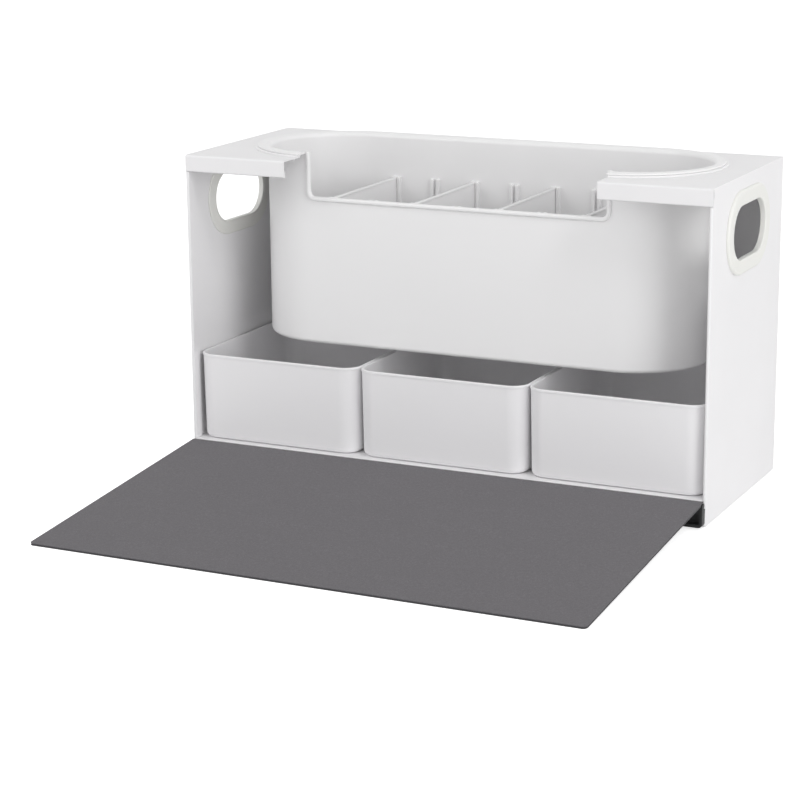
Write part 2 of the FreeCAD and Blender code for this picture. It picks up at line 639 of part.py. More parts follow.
# ---- bins -------------------------------------------------------------------------
def bin_loft(inset, z0, z1, taper):
    """Tapered round-cornered solid of a bin, in from its outer face by inset."""
    half = BIN_WIDTH / 2 - BIN_RIM_PROUD - inset
    y0 = FRONT + BIN_FROM_FRONT + BIN_RIM_PROUD + inset
    y1 = y0 + BIN_DEPTH - 2 * (BIN_RIM_PROUD + inset)
    low = rounded_box_wire(half - taper, y0 + taper, y1 - taper, z0, BIN_CORNER - inset)
    high = rounded_box_wire(half, y0, y1, z1, BIN_CORNER - inset)
    return Part.makeLoft([low, high], True, True)


def bin_at(index):
    """Open bin with a thin raised rim and a rounded bottom edge."""
    top = BIN_BOTTOM + BIN_HEIGHT
    floor = BIN_BOTTOM + BIN_WALL
    outer = bin_loft(0.0, BIN_BOTTOM, top, BIN_TAPER)
    outer = outer.makeFillet(BIN_BOTTOM_ROUND,
                             edges_where(outer, lambda b: b.ZMax < BIN_BOTTOM + NEAR))
    inner = bin_loft(BIN_WALL, floor, top, BIN_TAPER)
    inner = inner.makeFillet(BIN_BOTTOM_ROUND - BIN_WALL,
                             edges_where(inner, lambda b: b.ZMax < floor + NEAR))
    mouth = bin_loft(BIN_WALL, top, top + PAST, 0.0)
    rim = bin_loft(-BIN_RIM_PROUD, top - BIN_RIM_HEIGHT, top, 0.0)
    rim = rim.makeFillet(BIN_RIM_PROUD * 0.9, edges_where(rim, lambda b: b.ZMin > top - NEAR))
    body = outer.fuse(rim).cut([inner, mouth]).removeSplitter()
    pitch = BIN_WIDTH + BIN_GAP
    body.translate(Vector((index - (BIN_COUNT - 1) / 2) * pitch, 0, 0))
    return body


# ---- hinge and flap ------------------------------------------------------------------
def spine_block():
    """Spine before its pocket, knuckles and holes: low bar with rounded foot corners."""
    low, foot = SPINE_ABOVE_FLOOR, SPINE_FOOT_CORNER
    slant = 1 - math.sqrt(0.5)
    place = lambda u, v: Vector(u, SPINE_FRONT, v)
    wire = outline([(-SPINE_END + foot, low),
                    (SPINE_END - foot, low),
                    ((SPINE_END - foot * slant, low + foot * slant), (SPINE_END, low + foot)),
                    (SPINE_END, SPINE_TOP),
                    (-SPINE_END, SPINE_TOP),
                    (-SPINE_END, low + foot),
                    ((-SPINE_END + foot * slant, low + foot * slant), (-SPINE_END + foot, low))],
                   place)
    body = slab(wire, Vector(0, FRONT - SPINE_FRONT, 0))
    face = edges_where(body, lambda b: b.YMax < SPINE_FRONT + NEAR and b.ZMin < SPINE_TOP - NEAR)
    return body.makeFillet(SPINE_EDGE_ROUND, face)


def fixed_knuckle(x0, x1, reach):
    """Barrel round the pin from x0 to x1, on a post that reaches in front of the axis."""
    barrel = rod(KNUCKLE_RADIUS, Vector(x0, HINGE_Y, HINGE_Z), Vector(x1, HINGE_Y, HINGE_Z))
    post = block(x0, x1, HINGE_Y - reach, HINGE_Y + PIN_RADIUS, SPINE_TOP - SHEET, HINGE_Z)
    return barrel.fuse(post)


def hinge_spine():
    """Channel on the apron: web, raised border and the knuckles that don't turn."""
    pocket = block(-SPINE_END + SPINE_RIM, SPINE_END - SPINE_RIM, SPINE_FRONT - PAST,
                   FRONT - SPINE_WEB, SPINE_ABOVE_FLOOR + SPINE_RIM, SPINE_TOP - SPINE_RIM)
    knuckles = [fixed_knuckle(middle - FIXED_KNUCKLE / 2, middle + FIXED_KNUCKLE / 2, PIN_RADIUS)
                for middle in fixed_knuckle_places()]
    knuckles += [fixed_knuckle(-SPINE_END, -SPINE_END + SPINE_EAR, SPINE_EAR_REACH),
                 fixed_knuckle(SPINE_END - SPINE_EAR, SPINE_END, SPINE_EAR_REACH)]
    body = spine_block().cut(pocket).fuse(knuckles)
    bore = rod(PIN_RADIUS + PIN_FIT, Vector(-pin_half(), HINGE_Y, HINGE_Z),
               Vector(pin_half(), HINGE_Y, HINGE_Z))
    cutters = [bore] + [screw_hole((0, 1, 0), seat) for seat in spine_screw_seats()]
    return body.cut(cutters).removeSplitter()


def pin_half():
    """Half the hinge pin's length: it stops inside the end knuckles."""
    return SPINE_END - SPINE_EAR / 3


def hinge_pin():
    """Steel rod through every knuckle."""
    return rod(PIN_RADIUS, Vector(-pin_half(), HINGE_Y, HINGE_Z),
               Vector(pin_half(), HINGE_Y, HINGE_Z))


def flap_slab(start, end, half_width, low, high, corner):
    """Layer of the flap: from start to end along it, low to high square to it."""
    place = lambda u, v: Vector(v, HINGE_Y - u, HINGE_Z + low)
    far = corner * (1 - math.sqrt(0.5))
    wire = outline([(start, -half_width),
                    (end - corner, -half_width),
                    ((end - far, -half_width + far), (end, -half_width + corner)),
                    (end, half_width - corner),
                    ((end - far, half_width - far), (end - corner, half_width)),
                    (start, half_width)], place)
    return slab(wire, Vector(0, 0, high - low))


def tilted(shape):
    """Turns the flap from level down to where its far edge rests."""
    return shape.rotated(Vector(0, HINGE_Y, HINGE_Z), Vector(1, 0, 0), FLAP_TILT)


def flap_core():
    """Stiff sheet of the flap with its knuckles."""
    half = FLAP_HALF_WIDTH - MAT_OVERHANG
    plate = flap_slab(FLAP_CORE_START, FLAP_LENGTH - MAT_OVERHANG, half, CORE_LEVEL, MAT_LEVEL,
                      FLAP_CORNER - MAT_OVERHANG)
    solids = [plate]
    for middle in fixed_knuckle_places():
        for side in (-1, 1):
            near = middle + side * (FIXED_KNUCKLE / 2 + KNUCKLE_SIDE_GAP)
            x0, x1 = sorted((near, near + side * FLAP_KNUCKLE))
            barrel = rod(KNUCKLE_RADIUS, Vector(x0, HINGE_Y, HINGE_Z), Vector(x1, HINGE_Y, HINGE_Z))
            strap = block(x0, x1, HINGE_Y - FLAP_CORE_START - SHEET, HINGE_Y,
                          HINGE_Z + CORE_LEVEL, HINGE_Z + MAT_LEVEL)
            solids += [barrel, strap]
    bore = rod(PIN_RADIUS + FLAP_BORE_CLEARANCE, Vector(-RIGHT, HINGE_Y, HINGE_Z),
               Vector(RIGHT, HINGE_Y, HINGE_Z))
    return tilted(joined(solids).cut(bore))


def flap_mat():
    """Soft covering of the working face; it reaches back over the knuckles."""
    return tilted(flap_slab(-MAT_BEHIND_AXIS, FLAP_LENGTH, FLAP_HALF_WIDTH, MAT_LEVEL,
                            MAT_LEVEL + FLAP_MAT, FLAP_CORNER))


def flap_backing():
    """Covering of the outer face."""
    return tilted(flap_slab(FLAP_CORE_START + FLAP_CORE, FLAP_LENGTH, FLAP_HALF_WIDTH,
                            FLAP_BACKING_LEVEL, CORE_LEVEL, FLAP_CORNER))


def all_nodes():
    """Every piece by name."""
    nodes = {
        "side_panel_right": side_panel_right(),
        "top_panel": top_panel(),
        "back_panel": back_panel(),
        "base_deck": base_deck(),
        "deck_brace": deck_brace(),
        "feet": feet(),
        "top_trim": top_trim(),
        "grommet_right_outer": grommet_right_outer(),
        "grommet_right_inner": grommet_right_inner(),
        "catch_magnets": catch_magnets(),
        "magnet_holders": magnet_holders(),
        "back_screws": Part.makeCompound([screw((0, -1, 0), p) for p in back_screw_seats()]),
        "deck_screws": Part.makeCompound([screw((0, 0, 1), p) for p in deck_screw_seats()]),
        "spine_screws": Part.makeCompound([screw((0, 1, 0), p) for p in spine_screw_seats()]),
        "hinge_spine": hinge_spine(),
        "hinge_pin": hinge_pin(),
        "flap_core": flap_core(),
        "flap_mat": flap_mat(),
        "flap_backing": flap_backing(),
        "tub": tub(),
    }
    for right, left in (("side_panel_right", "side_panel_left"),
                        ("grommet_right_outer", "grommet_left_outer"),
                        ("grommet_right_inner", "grommet_left_inner")):
        nodes[left] = mirrored(nodes[right])
    for number, slot in enumerate(DIVIDER_SLOTS, 1):
        nodes["divider_%d" % number] = divider(slot)
    for index, name in enumerate(("bin_left", "bin_centre", "bin_right")):
        nodes[name] = bin_at(index)
    return nodes


os.makedirs("parts", exist_ok=True)
for node_name, node_shape in all_nodes().items():
    print(node_name, len(node_shape.Solids), round(node_shape.Volume), node_shape.isValid())
    node_shape.exportStep("parts/%s.step" % node_name)
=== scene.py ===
import logging
import math
from abc import ABC, abstractmethod
from dataclasses import dataclass, field
from enum import Enum
from typing import Callable, Sequence

import bmesh
import bpy
from mathutils import Matrix, Vector


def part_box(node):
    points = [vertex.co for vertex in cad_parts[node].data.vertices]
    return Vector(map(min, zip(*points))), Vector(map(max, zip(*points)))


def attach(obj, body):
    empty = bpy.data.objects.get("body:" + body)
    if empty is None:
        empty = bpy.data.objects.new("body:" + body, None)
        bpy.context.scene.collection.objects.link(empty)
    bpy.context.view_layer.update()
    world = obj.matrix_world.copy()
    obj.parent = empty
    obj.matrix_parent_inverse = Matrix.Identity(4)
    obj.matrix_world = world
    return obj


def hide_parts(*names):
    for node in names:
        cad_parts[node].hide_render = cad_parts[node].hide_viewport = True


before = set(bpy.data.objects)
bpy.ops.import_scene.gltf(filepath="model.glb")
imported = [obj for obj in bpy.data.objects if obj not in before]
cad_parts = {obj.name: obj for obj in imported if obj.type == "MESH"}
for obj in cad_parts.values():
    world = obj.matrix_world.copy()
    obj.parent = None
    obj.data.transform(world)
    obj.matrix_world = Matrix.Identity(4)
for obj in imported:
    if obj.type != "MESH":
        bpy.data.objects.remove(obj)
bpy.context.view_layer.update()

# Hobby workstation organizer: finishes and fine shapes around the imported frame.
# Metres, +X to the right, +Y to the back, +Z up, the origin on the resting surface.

LOG = logging.getLogger("organizer")
MM = 0.001
MERGE = 0.002 * MM      # points closer than this become one
SHORTEST = 0.001 * MM   # edges below this are dissolved
CREASE = math.radians(38)
CLOUDY = 3.0            # octaves of a cloudy noise

Colour = tuple[float, float, float]
Point2 = tuple[float, float]
Placer = Callable[[float, float, float], Vector]

# Sockets of the mix node while it mixes colours.
MIX_SHARE, MIX_FIRST, MIX_SECOND, MIX_RESULT = 0, 6, 7, 2


# Finishes.
class ShaderGraph:
    """Adds and links the shader nodes of one material."""

    def __init__(self, name: str) -> None:
        """Starts an empty material.

        Args:
            name: the material's name.
        """
        self.material = bpy.data.materials.new(name)
        self.material.use_nodes = True
        self.tree = self.material.node_tree
        self.shader = self.tree.nodes["Principled BSDF"]
        self.place = self.tree.nodes.new("ShaderNodeTexCoord").outputs["Object"]

    def node(self, kind: str, inputs: dict[str, object], **settings: object) -> bpy.types.Node:
        """Adds a node.

        Args:
            kind: Blender's node type.
            inputs: socket name to a value, or to another node's output.
            settings: the node's own properties.

        Returns:
            The new node.
        """
        made = self.tree.nodes.new(kind)
        for key, value in settings.items():
            setattr(made, key, value)
        for socket, value in inputs.items():
            self.feed(made.inputs[socket], value)
        return made

    def feed(self, socket: bpy.types.NodeSocket, value: object) -> None:
        """Links an output to a socket, or sets the socket's own value.

        Args:
            socket: the socket.
            value: the output or the value.
        """
        if isinstance(value, bpy.types.NodeSocket):
            self.tree.links.new(value, socket)
        else:
            socket.default_value = value

    def stretched(self, scale: Sequence[float], turn: float = 0.0) -> bpy.types.NodeSocket:
        """Object coordinates scaled on each axis and turned about Z.

        Args:
            scale: repeats a metre along X, Y and Z.
            turn: angle in radians.

        Returns:
            The vector output.
        """
        turned = self.node("ShaderNodeMapping", {"Vector": self.place, "Rotation": (0, 0, turn)})
        return self.node("ShaderNodeMapping", {"Vector": turned.outputs[0],
                                               "Scale": tuple(scale)}).outputs[0]

    def noise(self, scale: float, detail: float = 2.0,
              vector: bpy.types.NodeSocket | None = None) -> bpy.types.NodeSocket:
        """Grey noise.

        Args:
            scale: repeats a metre.
            detail: octaves.
            vector: coordinates, the object's own where left out.

        Returns:
            The noise from 0 to 1.
        """
        made = self.node("ShaderNodeTexNoise", {"Vector": vector or self.place, "Scale": scale,
                                                "Detail": detail})
        return made.outputs[0]

    def between(self, value: bpy.types.NodeSocket, low: float, high: float,
                start: float = 0.3, stop: float = 0.7) -> bpy.types.NodeSocket:
        """Maps a value from one span to another, clamped.

        Args:
            value: the value's output.
            low: result at the span's start.
            high: result at its end.
            start: start of the value's span.
            stop: end of the value's span.

        Returns:
            The mapped output.
        """
        made = self.node("ShaderNodeMapRange", {"Value": value, "From Min": start,
                                                "From Max": stop, "To Min": low, "To Max": high})
        return made.outputs[0]

    def mixed(self, share: bpy.types.NodeSocket, first: Colour | bpy.types.NodeSocket,
              second: Colour) -> bpy.types.NodeSocket:
        """Mixes two colours.

        Args:
            share: share of the second colour, from 0 to 1.
            first: a colour, or a colour output.
            second: the colour that goes over it.

        Returns:
            The colour output.
        """
        made = self.tree.nodes.new("ShaderNodeMix")
        made.data_type = "RGBA"
        under = first if isinstance(first, bpy.types.NodeSocket) else (*first, 1.0)
        self.feed(made.inputs[MIX_SHARE], share)
        self.feed(made.inputs[MIX_FIRST], under)
        self.feed(made.inputs[MIX_SECOND], (*second, 1.0))
        return made.outputs[MIX_RESULT]

    def bump(self, height: bpy.types.NodeSocket, depth: float, strength: float,
             under: bpy.types.NodeSocket | None = None) -> bpy.types.NodeSocket:
        """Surface relief.

        Args:
            height: grey height from 0 to 1.
            depth: metres from low to high.
            strength: share of the full effect.
            under: normal output of a coarser relief below this one.

        Returns:
            The normal output.
        """
        inputs = {"Height": height, "Distance": depth, "Strength": strength}
        if under is not None:
            inputs["Normal"] = under
        return self.node("ShaderNodeBump", inputs).outputs[0]

    def surface(self, colour: bpy.types.NodeSocket, rough: bpy.types.NodeSocket,
                normal: bpy.types.NodeSocket, **plain: float) -> None:
        """Feeds the shader.

        Args:
            colour: base colour output.
            rough: roughness output.
            normal: normal output.
            plain: other sockets, with _ for a space in their names, and their numbers.
        """
        for name, value in (("Base Color", colour), ("Roughness", rough), ("Normal", normal)):
            self.feed(self.shader.inputs[name], value)
        for name, number in plain.items():
            self.feed(self.shader.inputs[name.replace("_", " ")], number)


@dataclass(frozen=True)
class Finish(ABC):
    """A surface finish that dresses pieces of one record slot."""

    slot: str
    colour: Colour

    @abstractmethod
    def paint(self, graph: ShaderGraph) -> None:
        """Builds the finish's nodes."""

    def material(self) -> bpy.types.Material:
        """The finish's material, built the first time that it is needed.

        Returns:
            The material.
        """
        name = "finish_" + self.slot
        if name not in bpy.data.materials:
            self.paint(ShaderGraph(name))
        return bpy.data.materials[name]

    def dress(self, piece: bpy.types.Object) -> None:
        """Gives a piece this finish on every face."""
        piece.data.materials.clear()
        piece.data.materials.append(self.material())

    def shades(self, spread: float) -> tuple[Colour, Colour]:
        """The colour a little darker and a little lighter.

        Args:
            spread: share of the colour between the two.

        Returns:
            The darker and the lighter colour.
        """
        low, high = 1 - spread / 2, 1 + spread / 2
        return tuple(c * low for c in self.colour), tuple(min(1.0, c * high) for c in self.colour)


@dataclass(frozen=True)
class PowderCoat(Finish):
    """Baked powder coat: a faint orange peel with a soft gloss."""

    cloud_scale: float = 7.0
    cloud_spread: float = 0.02
    patch_scale: float = 38.0
    gloss_low: float = 0.34
    gloss_high: float = 0.46
    peel_scale: float = 620.0
    peel_depth: float = 0.06 * MM
    peel_strength: float = 0.35
    grain_finer: float = 5.0
    grain_shallower: float = 4.0
    grain_strength: float = 0.3

    def paint(self, graph: ShaderGraph) -> None:
        """Cloudy tone, patchy gloss, peel and fine grain.

        Args:
            graph: the new material's graph.
        """
        tone = graph.between(graph.noise(self.cloud_scale, CLOUDY), 0.0, 1.0)
        gloss = graph.between(graph.noise(self.patch_scale, CLOUDY), self.gloss_low, self.gloss_high)
        peel = graph.bump(graph.noise(self.peel_scale, 1.0), self.peel_depth, self.peel_strength)
        grain = graph.bump(graph.noise(self.peel_scale * self.grain_finer),
                           self.peel_depth / self.grain_shallower, self.grain_strength, peel)
        graph.surface(graph.mixed(tone, *self.shades(self.cloud_spread)), gloss, grain)


@dataclass(frozen=True)
class MouldedPlastic(Finish):
    """Injection-moulded plastic with a spark-eroded grain and faint flow marks."""

    flow: float = 0.02
    flow_scale: float = 5.0
    flow_reach: tuple[float, float, float] = (1.0, 1.0, 0.35)
    flow_depth: float = 0.6 * MM
    flow_strength: float = 0.25
    patch_scale: float = 26.0
    rough: float = 0.36
    smoother: float = 0.03
    rougher: float = 0.05
    grain_scale: float = 1500.0
    grain_depth: float = 0.04 * MM
    grain_strength: float = 0.35

    def paint(self, graph: ShaderGraph) -> None:
        """Flow marks in tone and gloss over a fine even grain.

        Args:
            graph: the new material's graph.
        """
        flow = graph.noise(self.flow_scale, CLOUDY, graph.stretched(self.flow_reach))
        tone = graph.between(flow, 0.0, 1.0)
        gloss = graph.between(graph.noise(self.patch_scale), self.rough - self.smoother,
                              self.rough + self.rougher)
        swell = graph.bump(flow, self.flow_depth, self.flow_strength)
        grain = graph.bump(graph.noise(self.grain_scale), self.grain_depth, self.grain_strength,
                           swell)
        graph.surface(graph.mixed(tone, *self.shades(self.flow)), gloss, grain)


@dataclass(frozen=True)
class FeltedCover(Finish):
    """Short-fibred covering with fine flecks that lie in every direction."""

    ground_scale: float = 900.0
    ground_spread: float = 0.10
    ground_span: tuple[float, float] = (0.35, 0.65)
    cloud_scale: float = 16.0
    cloud_share: float = 0.12
    fleck_colour: Colour = (0.185, 0.178, 0.190)
    fleck_share: float = 0.55
    fleck_span: tuple[float, float] = (0.66, 0.74)
    pit_colour: Colour = (0.105, 0.098, 0.108)
    pit_share: float = 0.5
    pit_span: tuple[float, float] = (0.26, 0.34)
    fibre_length: float = 3.4 * MM
    fibre_width: float = 0.38 * MM
    fibre_depth: float = 0.2 * MM
    fibre_strength: float = 0.25
    turns: tuple[float, ...] = (0.3, 1.35, 2.4)
    nap_scale: float = 700.0
    nap_depth: float = 0.3 * MM
    nap_strength: float = 0.6
    rough_scale: float = 500.0
    rough_low: float = 0.82
    rough_high: float = 0.95
    sheen: float = 0.15
    sheen_rough: float = 0.6
    specular: float = 0.25

    def paint(self, graph: ShaderGraph) -> None:
        """Matted ground, light fibres, dark pits and a nap.

        Args:
            graph: the new material's graph.
        """
        ground = graph.between(graph.noise(self.ground_scale, CLOUDY), 0.0, 1.0,
                               *self.ground_span)
        colour = graph.mixed(ground, *self.shades(self.ground_spread))
        relief = graph.bump(graph.noise(self.nap_scale, CLOUDY), self.nap_depth, self.nap_strength)
        across = 1 / self.fibre_length
        for turn in self.turns:
            lay = graph.noise(1.0, 0.0, graph.stretched((across, 1 / self.fibre_width, across),
                                                        turn))
            fleck = graph.between(lay, 0.0, self.fleck_share, *self.fleck_span)
            pit = graph.between(lay, self.pit_share, 0.0, *self.pit_span)
            colour = graph.mixed(fleck, colour, self.fleck_colour)
            colour = graph.mixed(pit, colour, self.pit_colour)
            relief = graph.bump(lay, self.fibre_depth, self.fibre_strength, relief)
        cloud = graph.between(graph.noise(self.cloud_scale, CLOUDY), 0.0, 1.0)
        shade = graph.between(cloud, 0.0, self.cloud_share, 0.0, 1.0)
        rough = graph.between(graph.noise(self.rough_scale), self.rough_low, self.rough_high)
        graph.surface(graph.mixed(shade, colour, self.pit_colour), rough, relief,
                      Sheen_Weight=self.sheen, Sheen_Roughness=self.sheen_rough,
                      Specular_IOR_Level=self.specular)


@dataclass(frozen=True)
class PlatedSteel(Finish):
    """Zinc-plated steel: turned streaks and a patchy gloss."""

    streak_scale: tuple[float, float, float] = (60.0, 2600.0, 2600.0)
    streak_depth: float = 0.02 * MM
    streak_strength: float = 0.3
    cloud_scale: float = 240.0
    cloud_spread: float = 0.16
    gloss_low: float = 0.24
    gloss_high: float = 0.42

    def paint(self, graph: ShaderGraph) -> None:
        """Streaks along X over a clouded plating.

        Args:
            graph: the new material's graph.
        """
        streak = graph.noise(1.0, 2.0, graph.stretched(self.streak_scale))
        cloud = graph.between(graph.noise(self.cloud_scale, CLOUDY), 0.0, 1.0)
        graph.surface(graph.mixed(cloud, *self.shades(self.cloud_spread)),
                      graph.between(streak, self.gloss_low, self.gloss_high),
                      graph.bump(streak, self.streak_depth, self.streak_strength), Metallic=1.0)


@dataclass(frozen=True)
class FootRubber(Finish):
    """Matt rubber with a coarse grain."""

    dust_scale: float = 180.0
    dust_spread: float = 0.3
    rough_low: float = 0.7
    rough_high: float = 0.9
    grain_scale: float = 1400.0
    grain_depth: float = 0.1 * MM
    grain_strength: float = 0.5

    def paint(self, graph: ShaderGraph) -> None:
        """Dusty tone and a pebbled relief.

        Args:
            graph: the new material's graph.
        """
        dust = graph.between(graph.noise(self.dust_scale, CLOUDY), 0.0, 1.0)
        grain = graph.bump(graph.noise(self.grain_scale), self.grain_depth, self.grain_strength)
        graph.surface(graph.mixed(dust, *self.shades(self.dust_spread)),
                      graph.between(dust, self.rough_low, self.rough_high, 0.0, 1.0), grain)


SHELL = PowderCoat("shell_paint", (0.90, 0.893, 0.903))
SCREW_ENAMEL = PowderCoat("screw_paint", (0.82, 0.82, 0.825), peel_scale=1200.0)
CORE = PowderCoat("core_paint", (0.045, 0.045, 0.048), peel_scale=900.0)
TUB_WHITE = MouldedPlastic("tub_plastic", (0.915, 0.911, 0.915), rough=0.32)
BIN_WHITE = MouldedPlastic("bin_plastic", (0.93, 0.922, 0.935), grain_scale=1800.0,
                           rough=0.32)
FRAME_WHITE = MouldedPlastic("frame_plastic", (0.87, 0.87, 0.835), rough=0.42)
HOLDER_WHITE = MouldedPlastic("holder_plastic", (0.78, 0.78, 0.78), rough=0.5)
SPINE_GREY = MouldedPlastic("spine_plastic", (0.030, 0.031, 0.032), grain_scale=1100.0,
                            grain_depth=0.08 * MM, rough=0.42, flow=0.1)
FELT = FeltedCover("mat_fabric", (0.127, 0.120, 0.130))
STEEL = PlatedSteel("steel", (0.62, 0.63, 0.64))
RUBBER = FootRubber("foot_rubber", (0.03, 0.03, 0.03))


# Shapes.
def filleted(corners: Sequence[Sequence[float]], closed: bool = False,
             steps: int = 5) -> list[Point2]:
    """Points of a polyline with its corners rounded.

    Args:
        corners: (u, v) or (u, v, radius) in order.
        closed: whether the last corner joins the first.
        steps: segments in a rounded corner.

    Returns:
        The points in order.
    """
    made: list[Point2] = []
    count = len(corners)
    for index, corner in enumerate(corners):
        here = Vector(corner[:2])
        radius = corner[2] if len(corner) > 2 else 0.0
        if radius <= 0 or (not closed and index in (0, count - 1)):
            made.append(tuple(here))
            continue
        back = (Vector(corners[index - 1][:2]) - here).normalized()
        ahead = (Vector(corners[(index + 1) % count][:2]) - here).normalized()
        half = back.angle(ahead) / 2
        centre = here + (back + ahead).normalized() * (radius / math.sin(half))
        first = here + back * (radius / math.tan(half)) - centre
        last = here + ahead * (radius / math.tan(half)) - centre
        sweep = first.angle_signed(last)
        for step in range(steps + 1):
            turned = Matrix.Rotation(-sweep * step / steps, 2) @ first
            made.append(tuple(centre + turned))
    return made


@dataclass(frozen=True)
class RoundedLoop:
    """Rounded rectangle in a plane, its ring grown outwards on demand.

    The ring starts at the middle of the -v side and runs through +u, +v and -u. The corners'
    radii are given in that order.
    """

    half_u: float
    half_v: float
    radii: tuple[float, float, float, float]
    centre: Point2 = (0.0, 0.0)
    steps: int = 10

    def ring(self, grow: float = 0.0) -> list[Point2]:
        """The ring's points.

        Args:
            grow: distance outwards, negative for inwards.

        Returns:
            Points in order; their number doesn't depend on grow.
        """
        hu, hv = self.half_u + grow, self.half_v + grow
        points: list[Point2] = [(0.0, -hv)]
        for quarter, radius in enumerate(self.radii):
            round_ = max(radius + grow, 0.0)
            su, sv = ((1, -1), (1, 1), (-1, 1), (-1, -1))[quarter]
            mid_u, mid_v = su * (hu - round_), sv * (hv - round_)
            start = (quarter - 1) * math.pi / 2
            for step in range(self.steps + 1):
                angle = start + step / self.steps * math.pi / 2
                points.append((mid_u + round_ * math.cos(angle),
                               mid_v + round_ * math.sin(angle)))
        return [(u + self.centre[0], v + self.centre[1]) for u, v in points]


@dataclass(frozen=True)
class Stadium:
    """Round-ended outline in a level plane, with stations at given places of its front.

    The ring starts at the front's middle and runs to the right. Point n is at stop n of the
    right half, and point -n at the same stop of the left half.
    """

    straight: float
    middle_y: float
    radius: float
    stops: tuple[float, ...]
    steps: int = 28

    def ring(self, grow: float = 0.0) -> list[Point2]:
        """The ring's points.

        Args:
            grow: distance outwards, negative for inwards.

        Returns:
            Points in order; their number depends on the stops and the steps alone.
        """
        radius = self.radius + grow
        past = [max(stop - self.straight, 0.0) for stop in self.stops]
        right = [(stop, self.middle_y - math.sqrt(radius ** 2 - over ** 2))
                 for stop, over in zip(self.stops, past)]
        start = math.asin(past[-1] / radius)
        for first, last in ((start, math.pi / 2), (math.pi / 2, math.pi)):
            for step in range(1, self.steps + 1):
                angle = first + (last - first) * step / self.steps
                right.append((self.straight + radius * math.sin(angle),
                              self.middle_y - radius * math.cos(angle)))
        left = [(-x, y) for x, y in reversed(right)]
        return ([(0.0, self.middle_y - radius)] + right + [(0.0, self.middle_y + radius)] + left)


class MeshBuilder:
    """Collects points and faces, and makes a piece from them."""

    def __init__(self, place: Placer) -> None:
        """Starts an empty mesh.

        Args:
            place: turns (u, v, w) into a point of the frame.
        """
        self.place = place
        self.points: list[Vector] = []
        self.faces: list[tuple[int, ...]] = []

    def ring(self, ring: Sequence[Point2], level: float) -> list[int]:
        """Adds a ring of points at one level and returns their numbers."""
        return self.add([self.place(u, v, level) for u, v in ring])

    def add(self, points: Sequence[Vector]) -> list[int]:
        """Adds points of the frame and returns their numbers."""
        self.points += points
        return list(range(len(self.points) - len(points), len(self.points)))

    def band(self, low: Sequence[int], high: Sequence[int],
             keep: Callable[[int], bool] = lambda _: True, closed: bool = True) -> None:
        """Joins two rings with four-sided faces.

        Args:
            low: point numbers of one ring.
            high: point numbers of the next ring.
            keep: which segments get a face.
            closed: whether the ring's last point joins its first.
        """
        count = len(low)
        for i in range(count if closed else count - 1):
            if keep(i):
                j = (i + 1) % count
                self.faces.append((low[i], low[j], high[j], high[i]))

    def cap(self, ring: Sequence[int]) -> None:
        """Closes a ring with one flat face."""
        self.faces.append(tuple(ring))

    def join(self, other: "MeshBuilder") -> None:
        """Takes over another builder's points and faces."""
        numbers = self.add(other.points)
        self.faces += [tuple(numbers[i] for i in face) for face in other.faces]

    def sweep(self, loop: RoundedLoop, profile: Sequence[Point2], closed: bool = False) -> None:
        """Sweeps a profile round a loop.

        Args:
            loop: the loop.
            profile: (grow, level) of each ring.
            closed: True joins the last ring to the first, False caps both ends.
        """
        rings = [self.ring(loop.ring(grow), level) for grow, level in profile]
        for low, high in zip(rings, rings[1:]):
            self.band(low, high)
        if closed:
            self.band(rings[-1], rings[0])
        else:
            self.cap(rings[0])
            self.cap(rings[-1])

    def piece(self, name: str, body: str, finish: Finish,
              replaces: Sequence[str] = ()) -> bpy.types.Object:
        """Makes the piece, smooth with crisp edges, dressed and riding its body.

        Args:
            name: the piece's name.
            body: the body that it moves with.
            finish: its finish.
            replaces: CAD nodes that it stands for.

        Returns:
            The new object.
        """
        mesh = bpy.data.meshes.new(name)
        mesh.from_pydata(self.points, [], self.faces)
        mesh.validate()
        made = bpy.data.objects.new(name, mesh)
        bpy.context.scene.collection.objects.link(made)
        self._tidy(mesh)
        weighted = made.modifiers.new("face_weighted_normals", "WEIGHTED_NORMAL")
        weighted.keep_sharp = True
        finish.dress(made)
        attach(made, body)
        if replaces:
            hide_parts(*replaces)
        LOG.info("%s on %s: %d points, %d faces", name, body, len(mesh.vertices),
                 len(mesh.polygons))
        return made

    @staticmethod
    def _tidy(mesh: bpy.types.Mesh) -> None:
        """Merges doubled points, turns faces outwards and marks edges past CREASE as sharp.

        Args:
            mesh: the mesh, changed in place.
        """
        work = bmesh.new()
        work.from_mesh(mesh)
        bmesh.ops.remove_doubles(work, verts=work.verts, dist=MERGE)
        bmesh.ops.dissolve_degenerate(work, dist=SHORTEST, edges=work.edges)
        bmesh.ops.recalc_face_normals(work, faces=work.faces)
        for edge in work.edges:
            edge.smooth = len(edge.link_faces) != 2 or edge.calc_face_angle(0.0) < CREASE
        for face in work.faces:
            face.smooth = True
        work.to_mesh(mesh)
        work.free()


def upright(u: float, v: float, w: float) -> Vector:
    """Loop in a level plane, levels upwards."""
    return Vector((u, v, w))


def sideways(u: float, v: float, w: float) -> Vector:
    """Loop in a side wall's plane (u to the back, v up), levels to the right."""
    return Vector((w, u, v))


def lengthwise(u: float, v: float, w: float) -> Vector:
    """Loop in a front wall's plane (u to the right, v up), levels to the back."""
    return Vector((u, w, v))


# Sub-assemblies.
class SubAssembly(ABC):
    """A group of pieces that are built together."""

    @abstractmethod
    def build(self) -> None:
        """Builds and dresses the pieces."""


